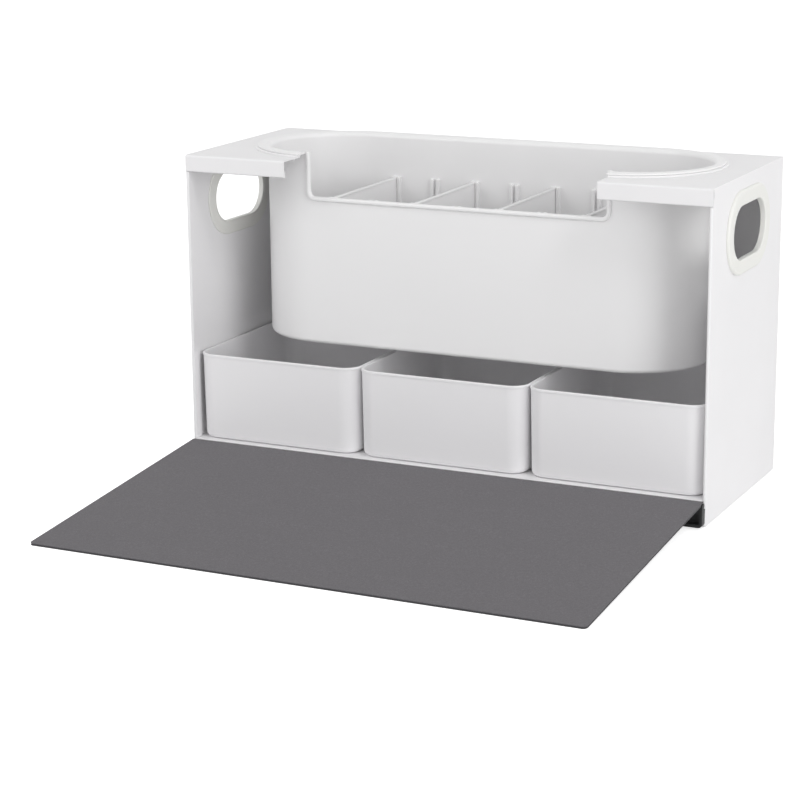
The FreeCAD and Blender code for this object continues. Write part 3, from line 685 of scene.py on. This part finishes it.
@dataclass
class CarriedNodes(SubAssembly):
    """CAD nodes whose shapes stay as they are and only get their finish."""

    finishes: dict[str, Finish] = field(default_factory=lambda: {
        "side_panel_left": SHELL, "side_panel_right": SHELL, "top_panel": SHELL,
        "back_panel": SHELL, "base_deck": SHELL, "deck_brace": SHELL,
        "feet": RUBBER, "catch_magnets": STEEL, "magnet_holders": HOLDER_WHITE,
        "back_screws": SCREW_ENAMEL, "deck_screws": STEEL, "spine_screws": STEEL,
        "hinge_spine": SPINE_GREY, "hinge_pin": STEEL, "flap_core": CORE,
    })

    def build(self) -> None:
        """Dresses each node."""
        for node, finish in self.finishes.items():
            finish.dress(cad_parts[node])
            LOG.info("%s: %s", node, finish.slot)


@dataclass
class Tub(SubAssembly):
    """Hanging tub: hollow body, a rim wider at the front, a notch with a bead, slot ribs."""

    wall: float = 2.5 * MM
    straight: float = 149.5 * MM
    radius: float = 71.5 * MM
    rim_radius: float = 82.5 * MM
    rim_thickness: float = 1.6 * MM
    behind_rim: float = 2.5 * MM
    mouth_round: float = 5.0 * MM
    rim_root_round: float = 2.0 * MM
    rim_under_round: float = 0.4 * MM
    rim_edge_round: float = 1.0 * MM
    rim_land: float = 2.0 * MM
    side_edge_round: float = 0.8 * MM
    bottom_round: float = 4.0 * MM
    notch_half: float = 147.5 * MM
    notch_level: float = 261.5 * MM
    notch_corner: float = 5.0 * MM
    bead_width: float = 4.0 * MM
    bead_proud: float = 2.5 * MM
    bead_round: float = 1.6 * MM
    bead_cover: float = 1.0 * MM
    bead_below_rim: float = 0.1 * MM
    slots: int = 7
    slot_pitch: float = 42.0 * MM
    slot_gap: float = 2.4 * MM
    rib: float = 3.6 * MM
    rib_depth: float = 4.0 * MM
    rib_corner: float = 1.2 * MM
    rib_top_round: float = 1.5 * MM
    rib_top_land: float = 1.6 * MM
    rib_foot_round: float = 0.1 * MM
    rib_foot_land: float = 1.0 * MM
    flat: float = 20.0 * MM

    def __post_init__(self) -> None:
        """Takes the tub's place from its node."""
        low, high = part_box("tub")
        self.low, self.top = low.z, high.z
        self.rim_y = high.y - self.rim_radius
        self.rim_straight = high.x - self.rim_radius
        self.middle_y = self.rim_y + self.behind_rim
        self.front = self.middle_y - self.radius
        self.back = self.middle_y + self.radius
        self.floor = self.low + self.wall

    def build(self) -> None:
        """Builds wall, bead and ribs."""
        self.build_wall()
        self.build_bead()
        self.build_ribs()

    def build_wall(self) -> None:
        """Hollow body with its rim, cut down at the notch."""
        stops = (self.notch_half + self.bead_cover, self.notch_half + self.bead_width)
        body = Stadium(self.straight, self.middle_y, self.radius, stops)
        edge = Stadium(self.rim_straight, self.rim_y, self.rim_radius, stops)
        seat, top, inner = self.top - self.rim_thickness, self.top, -self.wall
        cut = self.notch_level - self.bead_cover
        land, corner = self.rim_land, self.side_edge_round
        builder = MeshBuilder(upright)

        def rings(loop: Stadium, profile: Sequence[Point2]) -> list[list[int]]:
            """Rings of one loop through a profile."""
            return [builder.ring(loop.ring(grow), level) for grow, level in profile]

        outer = rings(body, filleted([(-self.flat, self.low), (0.0, self.low, self.bottom_round),
                                      (0.0, cut)]))
        inside = rings(body, filleted([(inner, cut),
                                       (inner, self.floor, self.bottom_round - self.wall),
                                       (-self.flat, self.floor)]))
        for wall in (outer, inside):
            for first, second in zip(wall, wall[1:]):
                builder.band(first, second)
            builder.cap(wall[0] if wall is outer else wall[-1])
        rim = rings(body, filleted([(0.0, cut), (0.0, seat, self.rim_root_round),
                                    (land, seat)])[1:-1])
        rim += rings(edge, filleted([(-land, seat), (0.0, seat, self.rim_under_round),
                                     (0.0, top, self.rim_edge_round), (-land, top)]))
        rim += rings(body, filleted([(-inner, top), (inner, top, self.mouth_round),
                                     (inner, cut)], steps=9)[1:-1])
        plain = rings(body, filleted([(0.0, cut), (0.0, top, corner), (inner, top, corner),
                                      (inner, cut)])[1:-1])
        count = len(outer[0])
        builder.band(outer[-1], inside[0], lambda i: i in (0, count - 1))
        for middle, keep, ends in ((plain, lambda i: i in (1, count - 2), (1, 2)),
                                   (rim, lambda i: 2 <= i < count - 2, (2,))):
            section = [outer[-1]] + middle + [inside[0]]
            for first, second in zip(section, section[1:]):
                builder.band(first, second, keep)
            for column in ends:
                for place in (column, count - column):
                    builder.cap([ring[place] for ring in section])
        builder.piece("tub_wall", "tub", TUB_WHITE, ("tub",))

    def build_bead(self) -> None:
        """Rounded bead down one side of the notch, along it and up the other side."""
        half, low, top = self.notch_half, self.notch_level, self.top - self.bead_below_rim
        path = filleted([(-half, top), (-half, low, self.notch_corner),
                         (half, low, self.notch_corner), (half, top)], steps=10)
        depth = (self.bead_proud + self.wall) / 2
        middle = self.front - self.bead_proud + depth
        section = RoundedLoop(self.bead_width / 2, depth, (self.bead_round,) * 4, steps=6)
        builder = MeshBuilder(upright)
        rings = []
        for index, point in enumerate(path):
            here = Vector(point)
            before = Vector(path[max(index - 1, 0)])
            after = Vector(path[min(index + 1, len(path) - 1)])
            along = (after - before).normalized()
            out = Vector((along.y, -along.x))
            ring = []
            for u, v in section.ring():
                offset = out * (u + self.bead_width / 2)
                ring.append(Vector((here.x + offset.x, middle + v, here.y + offset.y)))
            rings.append(builder.add(ring))
        for first, second in zip(rings, rings[1:]):
            builder.band(first, second)
        builder.cap(rings[0])
        builder.cap(rings[-1])
        builder.piece("tub_notch_bead", "tub", TUB_WHITE)

    def build_ribs(self) -> None:
        """Two ribs on both long walls for each divider slot."""
        builder = MeshBuilder(upright)
        root = self.wall / 2
        foot = self.floor - root
        half_depth = (self.rib_depth + root) / 2
        near_front = self.front + self.wall - root + half_depth
        near_back = self.back - self.wall + root - half_depth
        for slot in range(self.slots):
            middle = (slot - (self.slots - 1) / 2) * self.slot_pitch
            for side in (-1, 1):
                x = middle + side * (self.slot_gap + self.rib) / 2
                for y in (near_front, near_back):
                    section = RoundedLoop(self.rib / 2, half_depth, (self.rib_corner,) * 4,
                                          (x, y), steps=5)
                    builder.sweep(section, filleted([
                        (-self.rib_foot_land, foot), (0.0, foot, self.rib_foot_round),
                        (0.0, self.notch_level, self.rib_top_round),
                        (-self.rib_top_land, self.notch_level)]))
        builder.piece("tub_ribs", "tub", TUB_WHITE)


@dataclass
class Dividers(SubAssembly):
    """Plates in the tub's slots, each with a rolled top edge."""

    count: int = 4
    plate: float = 2.0 * MM
    bead: float = 3.4 * MM
    bead_height: float = 3.0 * MM
    bead_corner: float = 1.2 * MM
    bead_margin: float = 4.8 * MM
    corner: float = 7.0 * MM
    top_corner: float = 1.5 * MM
    edge_round: float = 0.8 * MM
    land: float = 1.0 * MM

    def build(self) -> None:
        """Builds each divider from its node's box."""
        for number in range(1, self.count + 1):
            self.build_one("divider_%d" % number)

    def build_one(self, node: str) -> None:
        """Plate and rolled edge of one divider.

        Args:
            node: name of its CAD node, and of its body.
        """
        low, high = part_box(node)
        x, half = (low.x + high.x) / 2, self.plate / 2
        loop = RoundedLoop((high.y - low.y) / 2, (high.z - low.z) / 2,
                           (self.corner, self.top_corner, self.top_corner, self.corner),
                           ((low.y + high.y) / 2, (low.z + high.z) / 2), steps=6)
        builder = MeshBuilder(sideways)
        builder.sweep(loop, self.edge(x - half, x + half))
        rolled = RoundedLoop(self.bead / 2, self.bead_height / 2, (self.bead_corner,) * 4,
                             (x, high.z - self.bead_height / 2), steps=5)
        bar = MeshBuilder(lengthwise)
        bar.sweep(rolled, self.edge(low.y + self.bead_margin, high.y - self.bead_margin))
        builder.join(bar)
        builder.piece(node + "_plate", node, TUB_WHITE, (node,))

    def edge(self, start: float, end: float) -> list[Point2]:
        """Profile from one rounded end face to the other.

        Args:
            start: level of the first face.
            end: level of the last.

        Returns:
            (grow, level) of each ring.
        """
        return filleted([(-self.land, start), (0.0, start, self.edge_round),
                         (0.0, end, self.edge_round), (-self.land, end)])


@dataclass
class Bins(SubAssembly):
    """Three open bins with a thin raised rim."""

    names: tuple[str, ...] = ("bin_left", "bin_centre", "bin_right")
    wall: float = 2.0 * MM
    corner: float = 17.0 * MM
    taper: float = 1.2 * MM
    bottom_round: float = 5.0 * MM
    rim_proud: float = 0.6 * MM
    rim_height: float = 2.4 * MM
    rim_round: float = 0.7 * MM
    rim_root_round: float = 0.3 * MM
    rim_under_round: float = 0.2 * MM
    flat: float = 12.0 * MM

    def build(self) -> None:
        """Builds each bin from its node's box."""
        for name in self.names:
            low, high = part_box(name)
            half_u = (high.x - low.x) / 2 - self.rim_proud
            half_v = (high.y - low.y) / 2 - self.rim_proud
            centre = ((low.x + high.x) / 2, (low.y + high.y) / 2)
            loop = RoundedLoop(half_u, half_v, (self.corner,) * 4, centre, steps=14)
            builder = MeshBuilder(upright)
            builder.sweep(loop, self.profile(low.z, high.z))
            builder.piece(name + "_shell", name, BIN_WHITE, (name,))

    def profile(self, low: float, top: float) -> list[Point2]:
        """Wall section from the outer bottom over the rim to the inner bottom.

        Args:
            low: level of the outer bottom.
            top: level of the rim.

        Returns:
            (grow, level) of each ring.
        """
        floor, inside, step = low + self.wall, -self.wall, top - self.rim_height
        return filleted([
            (-self.flat, low), (-self.taper, low, self.bottom_round),
            (0.0, step, self.rim_root_round), (self.rim_proud, step, self.rim_under_round),
            (self.rim_proud, top, self.rim_round), (inside, top, self.rim_round),
            (inside - self.taper, floor, self.bottom_round - self.wall),
            (-self.flat, floor)])


@dataclass
class CutoutTrim(SubAssembly):
    """Edge trim of the top panel's cut-out, open at the front."""

    collar: float = 77.0 * MM
    flange: float = 85.0 * MM
    wall: float = 1.5 * MM
    thickness: float = 1.5 * MM
    sheet: float = 1.2 * MM
    catch: float = 1.6 * MM
    end: float = 153.5 * MM
    collar_end: float = 160.0 * MM
    slack: float = 0.1 * MM
    mouth_round: float = 0.4 * MM
    flange_round: float = 0.9 * MM
    seat_round: float = 0.1 * MM
    catch_round: float = 0.3 * MM

    def build(self) -> None:
        """Sweeps the flange and the collar round the cut-out, between their two ends."""
        low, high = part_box("top_trim")
        straight, middle_y = high.x - self.flange, high.y - self.flange
        seat, inside = high.z - self.thickness, high.z - self.thickness / 2
        under = seat - self.sheet - self.slack
        width, catch = self.flange - self.collar, self.wall + self.catch
        flange = filleted([(0.0, high.z, self.mouth_round), (width, high.z, self.flange_round),
                           (width, seat, self.seat_round), (0.0, seat)], closed=True)
        collar = filleted([(0.0, inside), (self.wall, inside), (self.wall, under),
                           (catch, under, self.catch_round),
                           (catch - self.catch / 2, low.z, self.catch_round),
                           (0.0, low.z, self.catch_round)], closed=True)
        builder = MeshBuilder(upright)
        for section, end in ((flange, self.end), (collar, self.collar_end)):
            loop = Stadium(straight, middle_y, self.collar, (end,))
            rings = [builder.ring(loop.ring(g), z) for g, z in section]
            count = len(rings[0])
            for first, second in zip(rings, rings[1:] + rings[:1]):
                builder.band(first, second, lambda i: 1 <= i < count - 1)
            for place in (1, count - 1):
                builder.cap([ring[place] for ring in rings])
        builder.piece("cutout_trim", "housing", TUB_WHITE, ("top_trim",))


class Side(Enum):
    """The housing's two sides, each with its sign along X."""

    LEFT = -1.0
    RIGHT = 1.0


@dataclass
class CarryFrames(SubAssembly):
    """Frames of the two carry holes, one flange outside and one inside each wall."""

    half_length: float = 46.0 * MM
    half_height: float = 24.0 * MM
    sleeve: float = 2.0 * MM
    flange: float = 13.5 * MM
    thickness: float = 3.0 * MM
    face_round: float = 2.0 * MM
    mouth_round: float = 1.2 * MM
    inner_thickness: float = 1.4 * MM
    inner_round: float = 1.0 * MM
    end_round: float = 0.8 * MM
    step_round: float = 0.3 * MM
    bevel_width: float = 0.5 * MM
    bevel_height: float = 0.15 * MM
    fit: float = 0.05 * MM

    def build(self) -> None:
        """Builds the outer and inner frame on both sides."""
        for side in Side:
            self.build_side(side)

    def build_side(self, side: Side) -> None:
        """Builds the two frames of one carry hole.

        Args:
            side: the housing's side that it is on.
        """
        word = side.name.lower()
        low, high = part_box("grommet_%s_outer" % word)
        centre = ((low.y + high.y) / 2, (low.z + high.z) / 2)
        loop = RoundedLoop(self.half_length, self.half_height, (self.half_height,) * 4,
                           centre, steps=20)
        face = max(abs(low.x), abs(high.x))
        inner_low, inner_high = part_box("grommet_%s_inner" % word)
        inner_wall = max(abs(inner_low.x), abs(inner_high.x))
        for name, profile in (("outer", self.outer(face, inner_wall)),
                              ("inner", self.inner(inner_wall))):
            builder = MeshBuilder(sideways)
            builder.sweep(loop, [(g, side.value * w) for g, w in profile], closed=True)
            builder.piece("carry_frame_%s_%s" % (word, name), "housing", FRAME_WHITE,
                          ("grommet_%s_%s" % (word, name),))

    def outer(self, face: float, inner_wall: float) -> list[Point2]:
        """Section of the outer flange with the sleeve through the wall.

        Args:
            face: the outer flange's face, from the housing's middle.
            inner_wall: the wall's inner face.

        Returns:
            (grow, distance from the middle) of each ring.
        """
        wall, end = face - self.thickness, inner_wall - self.inner_thickness
        return filleted([
            (0.0, face, self.mouth_round), (self.flange, face, self.face_round),
            (self.flange, wall + self.bevel_height), (self.flange - self.bevel_width, wall),
            (self.sleeve, wall), (self.sleeve, end, self.step_round),
            (0.0, end, self.end_round)], closed=True)

    def inner(self, wall: float) -> list[Point2]:
        """Section of the inner flange, a ring round the sleeve.

        Args:
            wall: the wall's inner face, from the housing's middle.

        Returns:
            (grow, distance from the middle) of each ring.
        """
        face, hole = wall - self.inner_thickness, self.sleeve + self.fit
        return filleted([
            (hole, wall), (self.flange - self.bevel_width, wall),
            (self.flange, wall - self.bevel_height), (self.flange, face, self.inner_round),
            (hole, face, self.step_round)], closed=True)


@dataclass(frozen=True)
class Covering:
    """One covering of the flap, and where it lies from the hinge axis."""

    name: str
    node: str
    start: float
    level: float
    thickness: float


@dataclass
class FlapCovers(SubAssembly):
    """Felted coverings of the flap's two faces."""

    coverings: tuple[Covering, ...] = (
        Covering("work_mat", "flap_mat", start=-2.4 * MM, level=2.7 * MM, thickness=0.8 * MM),
        Covering("outer_cover", "flap_backing", start=4.3 * MM, level=1.1 * MM,
                 thickness=0.4 * MM))
    end: float = 277.5 * MM
    corner: float = 4.0 * MM
    hinge_corner: float = 0.5 * MM
    edge_round: float = 0.35 * MM
    round_share: float = 0.45
    land: float = 2.0 * MM
    tilt: float = math.radians(4.8003)
    hinge_y: float = -106.6 * MM
    hinge_z: float = 22.2 * MM

    def build(self) -> None:
        """Builds the working face's mat and the outer face's backing."""
        for covering in self.coverings:
            self.build_cover(covering)

    def place(self, u: float, v: float, w: float) -> Vector:
        """Point u across the flap, v along it from the hinge and w square to it."""
        lean = Matrix.Rotation(self.tilt, 3, "X")
        return lean @ Vector((u, -v, w)) + Vector((0.0, self.hinge_y, self.hinge_z))

    def build_cover(self, cover: Covering) -> None:
        """Args:
            cover: the covering.
        """
        low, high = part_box(cover.node)
        half = (high.x - low.x) / 2
        length, middle = self.end - cover.start, (cover.start + self.end) / 2
        radii = (self.hinge_corner, self.corner, self.corner, self.hinge_corner)
        loop = RoundedLoop(half, length / 2, radii, (0.0, middle), steps=6)
        soft = min(self.edge_round, cover.thickness * self.round_share)
        under, top = cover.level, cover.level + cover.thickness
        builder = MeshBuilder(self.place)
        builder.sweep(loop, filleted([(-self.land, under), (0.0, under, soft),
                                      (0.0, top, soft), (-self.land, top)]))
        made = builder.piece(cover.name, "flap", FELT, (cover.node,))


# Studio.
class Ray(Enum):
    """Kinds of ray, by their names on the light path node."""

    CAMERA = "Is Camera Ray"
    GLOSSY = "Is Glossy Ray"
    TRANSMISSION = "Is Transmission Ray"


def any_of(tree: bpy.types.NodeTree, *kinds: Ray) -> bpy.types.NodeSocket:
    """Tells some kinds of ray from the others.

    Args:
        tree: the node tree that gets the nodes.
        kinds: the kinds.

    Returns:
        An output of 1 for a ray of any of the kinds and 0 for others.
    """
    paths = tree.nodes.new("ShaderNodeLightPath")
    share = paths.outputs[kinds[0].value]
    for kind in kinds[1:]:
        either = tree.nodes.new("ShaderNodeMath")
        either.operation = "MAXIMUM"
        tree.links.new(share, either.inputs[0])
        tree.links.new(paths.outputs[kind.value], either.inputs[1])
        share = either.outputs[0]
    return share


@dataclass(frozen=True)
class SoftLamp:
    """Square area lamp that faces the object."""

    name: str
    place: tuple[float, float, float]
    side: float
    watts: float
    aim: tuple[float, float, float] = (0.0, 0.0, 0.15)

    def build(self) -> None:
        """Adds the lamp, turned to its aim."""
        data = bpy.data.lights.new(self.name, "AREA")
        data.shape = "SQUARE"
        data.size = self.side
        data.energy = self.watts
        lamp = bpy.data.objects.new(self.name, data)
        lamp.location = Vector(self.place)
        ahead = Vector(self.aim) - Vector(self.place)
        lamp.rotation_euler = ahead.to_track_quat("-Z", "Y").to_euler()
        bpy.context.scene.collection.objects.link(lamp)


@dataclass
class Studio:
    """Camera, pale floor, white surround and soft lamps."""

    camera_place: tuple[float, float, float] = (0.87179, -1.97579, 0.61967)
    yaw: float = 25.87
    pitch: float = 14.37
    roll: float = -0.50
    lens: float = 105.44
    sensor: float = 36.0
    clip_end: float = 50.0
    floor_half: float = 6.0
    floor_colour: Colour = (0.90, 0.90, 0.90)
    floor_rough: float = 0.9
    floor_specular: float = 0.1
    floor_lift: float = 0.75
    horizon: float = 0.94
    zenith: float = 0.46
    lamps: tuple[SoftLamp, ...] = (
        SoftLamp("key", place=(1.2, -0.8, 1.6), side=0.5, watts=5.0),
        SoftLamp("front", place=(-1.1, -1.5, 1.4), side=0.9, watts=5.5),
        SoftLamp("right", place=(3.1, -1.6, 0.3), side=2.4, watts=38.0, aim=(0.1, 0.0, 0.15)))

    def build(self) -> None:
        """Sets up view, camera, floor, world and lamps."""
        bpy.context.scene.view_settings.view_transform = "Standard"
        self.build_camera()
        self.build_floor()
        self.build_world()
        for lamp in self.lamps:
            lamp.build()

    def build_camera(self) -> None:
        """Places the camera from its turn, tilt and roll."""
        yaw, pitch, roll = (math.radians(a) for a in (self.yaw, self.pitch, self.roll))
        ahead = Vector((-math.sin(yaw) * math.cos(pitch), math.cos(yaw) * math.cos(pitch),
                        -math.sin(pitch)))
        level = Vector((math.cos(yaw), math.sin(yaw), 0.0))
        above = level.cross(ahead)
        right = level * math.cos(roll) + above * math.sin(roll)
        up = above * math.cos(roll) - level * math.sin(roll)
        data = bpy.data.cameras.new("camera")
        data.lens = self.lens
        data.sensor_width = self.sensor
        data.clip_end = self.clip_end
        camera = bpy.data.objects.new("camera", data)
        turn = Matrix((right, up, -ahead)).transposed().to_4x4()
        camera.matrix_world = Matrix.Translation(Vector(self.camera_place)) @ turn
        bpy.context.scene.collection.objects.link(camera)
        bpy.context.scene.camera = camera

    def build_floor(self) -> None:
        """Plain pale floor that looks white to the camera and keeps the shadow."""
        mesh = bpy.data.meshes.new("floor")
        reach = self.floor_half
        corners = [(-reach, -reach, 0), (reach, -reach, 0), (reach, reach, 0), (-reach, reach, 0)]
        mesh.from_pydata(corners, [], [(0, 1, 2, 3)])
        floor = bpy.data.objects.new("floor", mesh)
        bpy.context.scene.collection.objects.link(floor)
        material = bpy.data.materials.new("floor_paper")
        material.use_nodes = True
        nodes, links = material.node_tree.nodes, material.node_tree.links
        shader = nodes["Principled BSDF"]
        shader.inputs["Base Color"].default_value = (*self.floor_colour, 1.0)
        shader.inputs["Roughness"].default_value = self.floor_rough
        shader.inputs["Specular IOR Level"].default_value = self.floor_specular
        shader.inputs["Emission Color"].default_value = (1.0, 1.0, 1.0, 1.0)
        lift = nodes.new("ShaderNodeMath")
        lift.operation = "MULTIPLY"
        lift.inputs[1].default_value = self.floor_lift
        links.new(any_of(material.node_tree, Ray.CAMERA, Ray.TRANSMISSION), lift.inputs[0])
        links.new(lift.outputs[0], shader.inputs["Emission Strength"])
        mesh.materials.append(material)

    def build_world(self) -> None:
        """White surround: softer from above, plain white where it is seen or mirrored."""
        world = bpy.data.worlds.new("surround")
        bpy.context.scene.world = world
        world.use_nodes = True
        nodes, links = world.node_tree.nodes, world.node_tree.links
        background = nodes["Background"]
        background.inputs["Color"].default_value = (1.0, 1.0, 1.0, 1.0)
        toward = nodes.new("ShaderNodeSeparateXYZ")
        links.new(nodes.new("ShaderNodeTexCoord").outputs["Generated"], toward.inputs[0])
        ambient = nodes.new("ShaderNodeMapRange")
        ambient.inputs["To Min"].default_value = self.horizon
        ambient.inputs["To Max"].default_value = self.zenith
        links.new(toward.outputs["Z"], ambient.inputs["Value"])
        share = any_of(world.node_tree, Ray.CAMERA, Ray.GLOSSY, Ray.TRANSMISSION)
        level = nodes.new("ShaderNodeMapRange")
        level.inputs["To Max"].default_value = 1.0
        links.new(share, level.inputs["Value"])
        links.new(ambient.outputs[0], level.inputs["To Min"])
        links.new(level.outputs[0], background.inputs["Strength"])


def main() -> None:
    """Builds the studio and every sub-assembly in order."""
    logging.basicConfig(level=logging.INFO, format="%(name)s: %(message)s")
    Studio().build()
    for part in (CarriedNodes(), CutoutTrim(), CarryFrames(), Tub(), Dividers(), Bins(),
                 FlapCovers()):
        part.build()
        LOG.info("%s built", type(part).__name__)


if __name__ == "__main__":
    main()
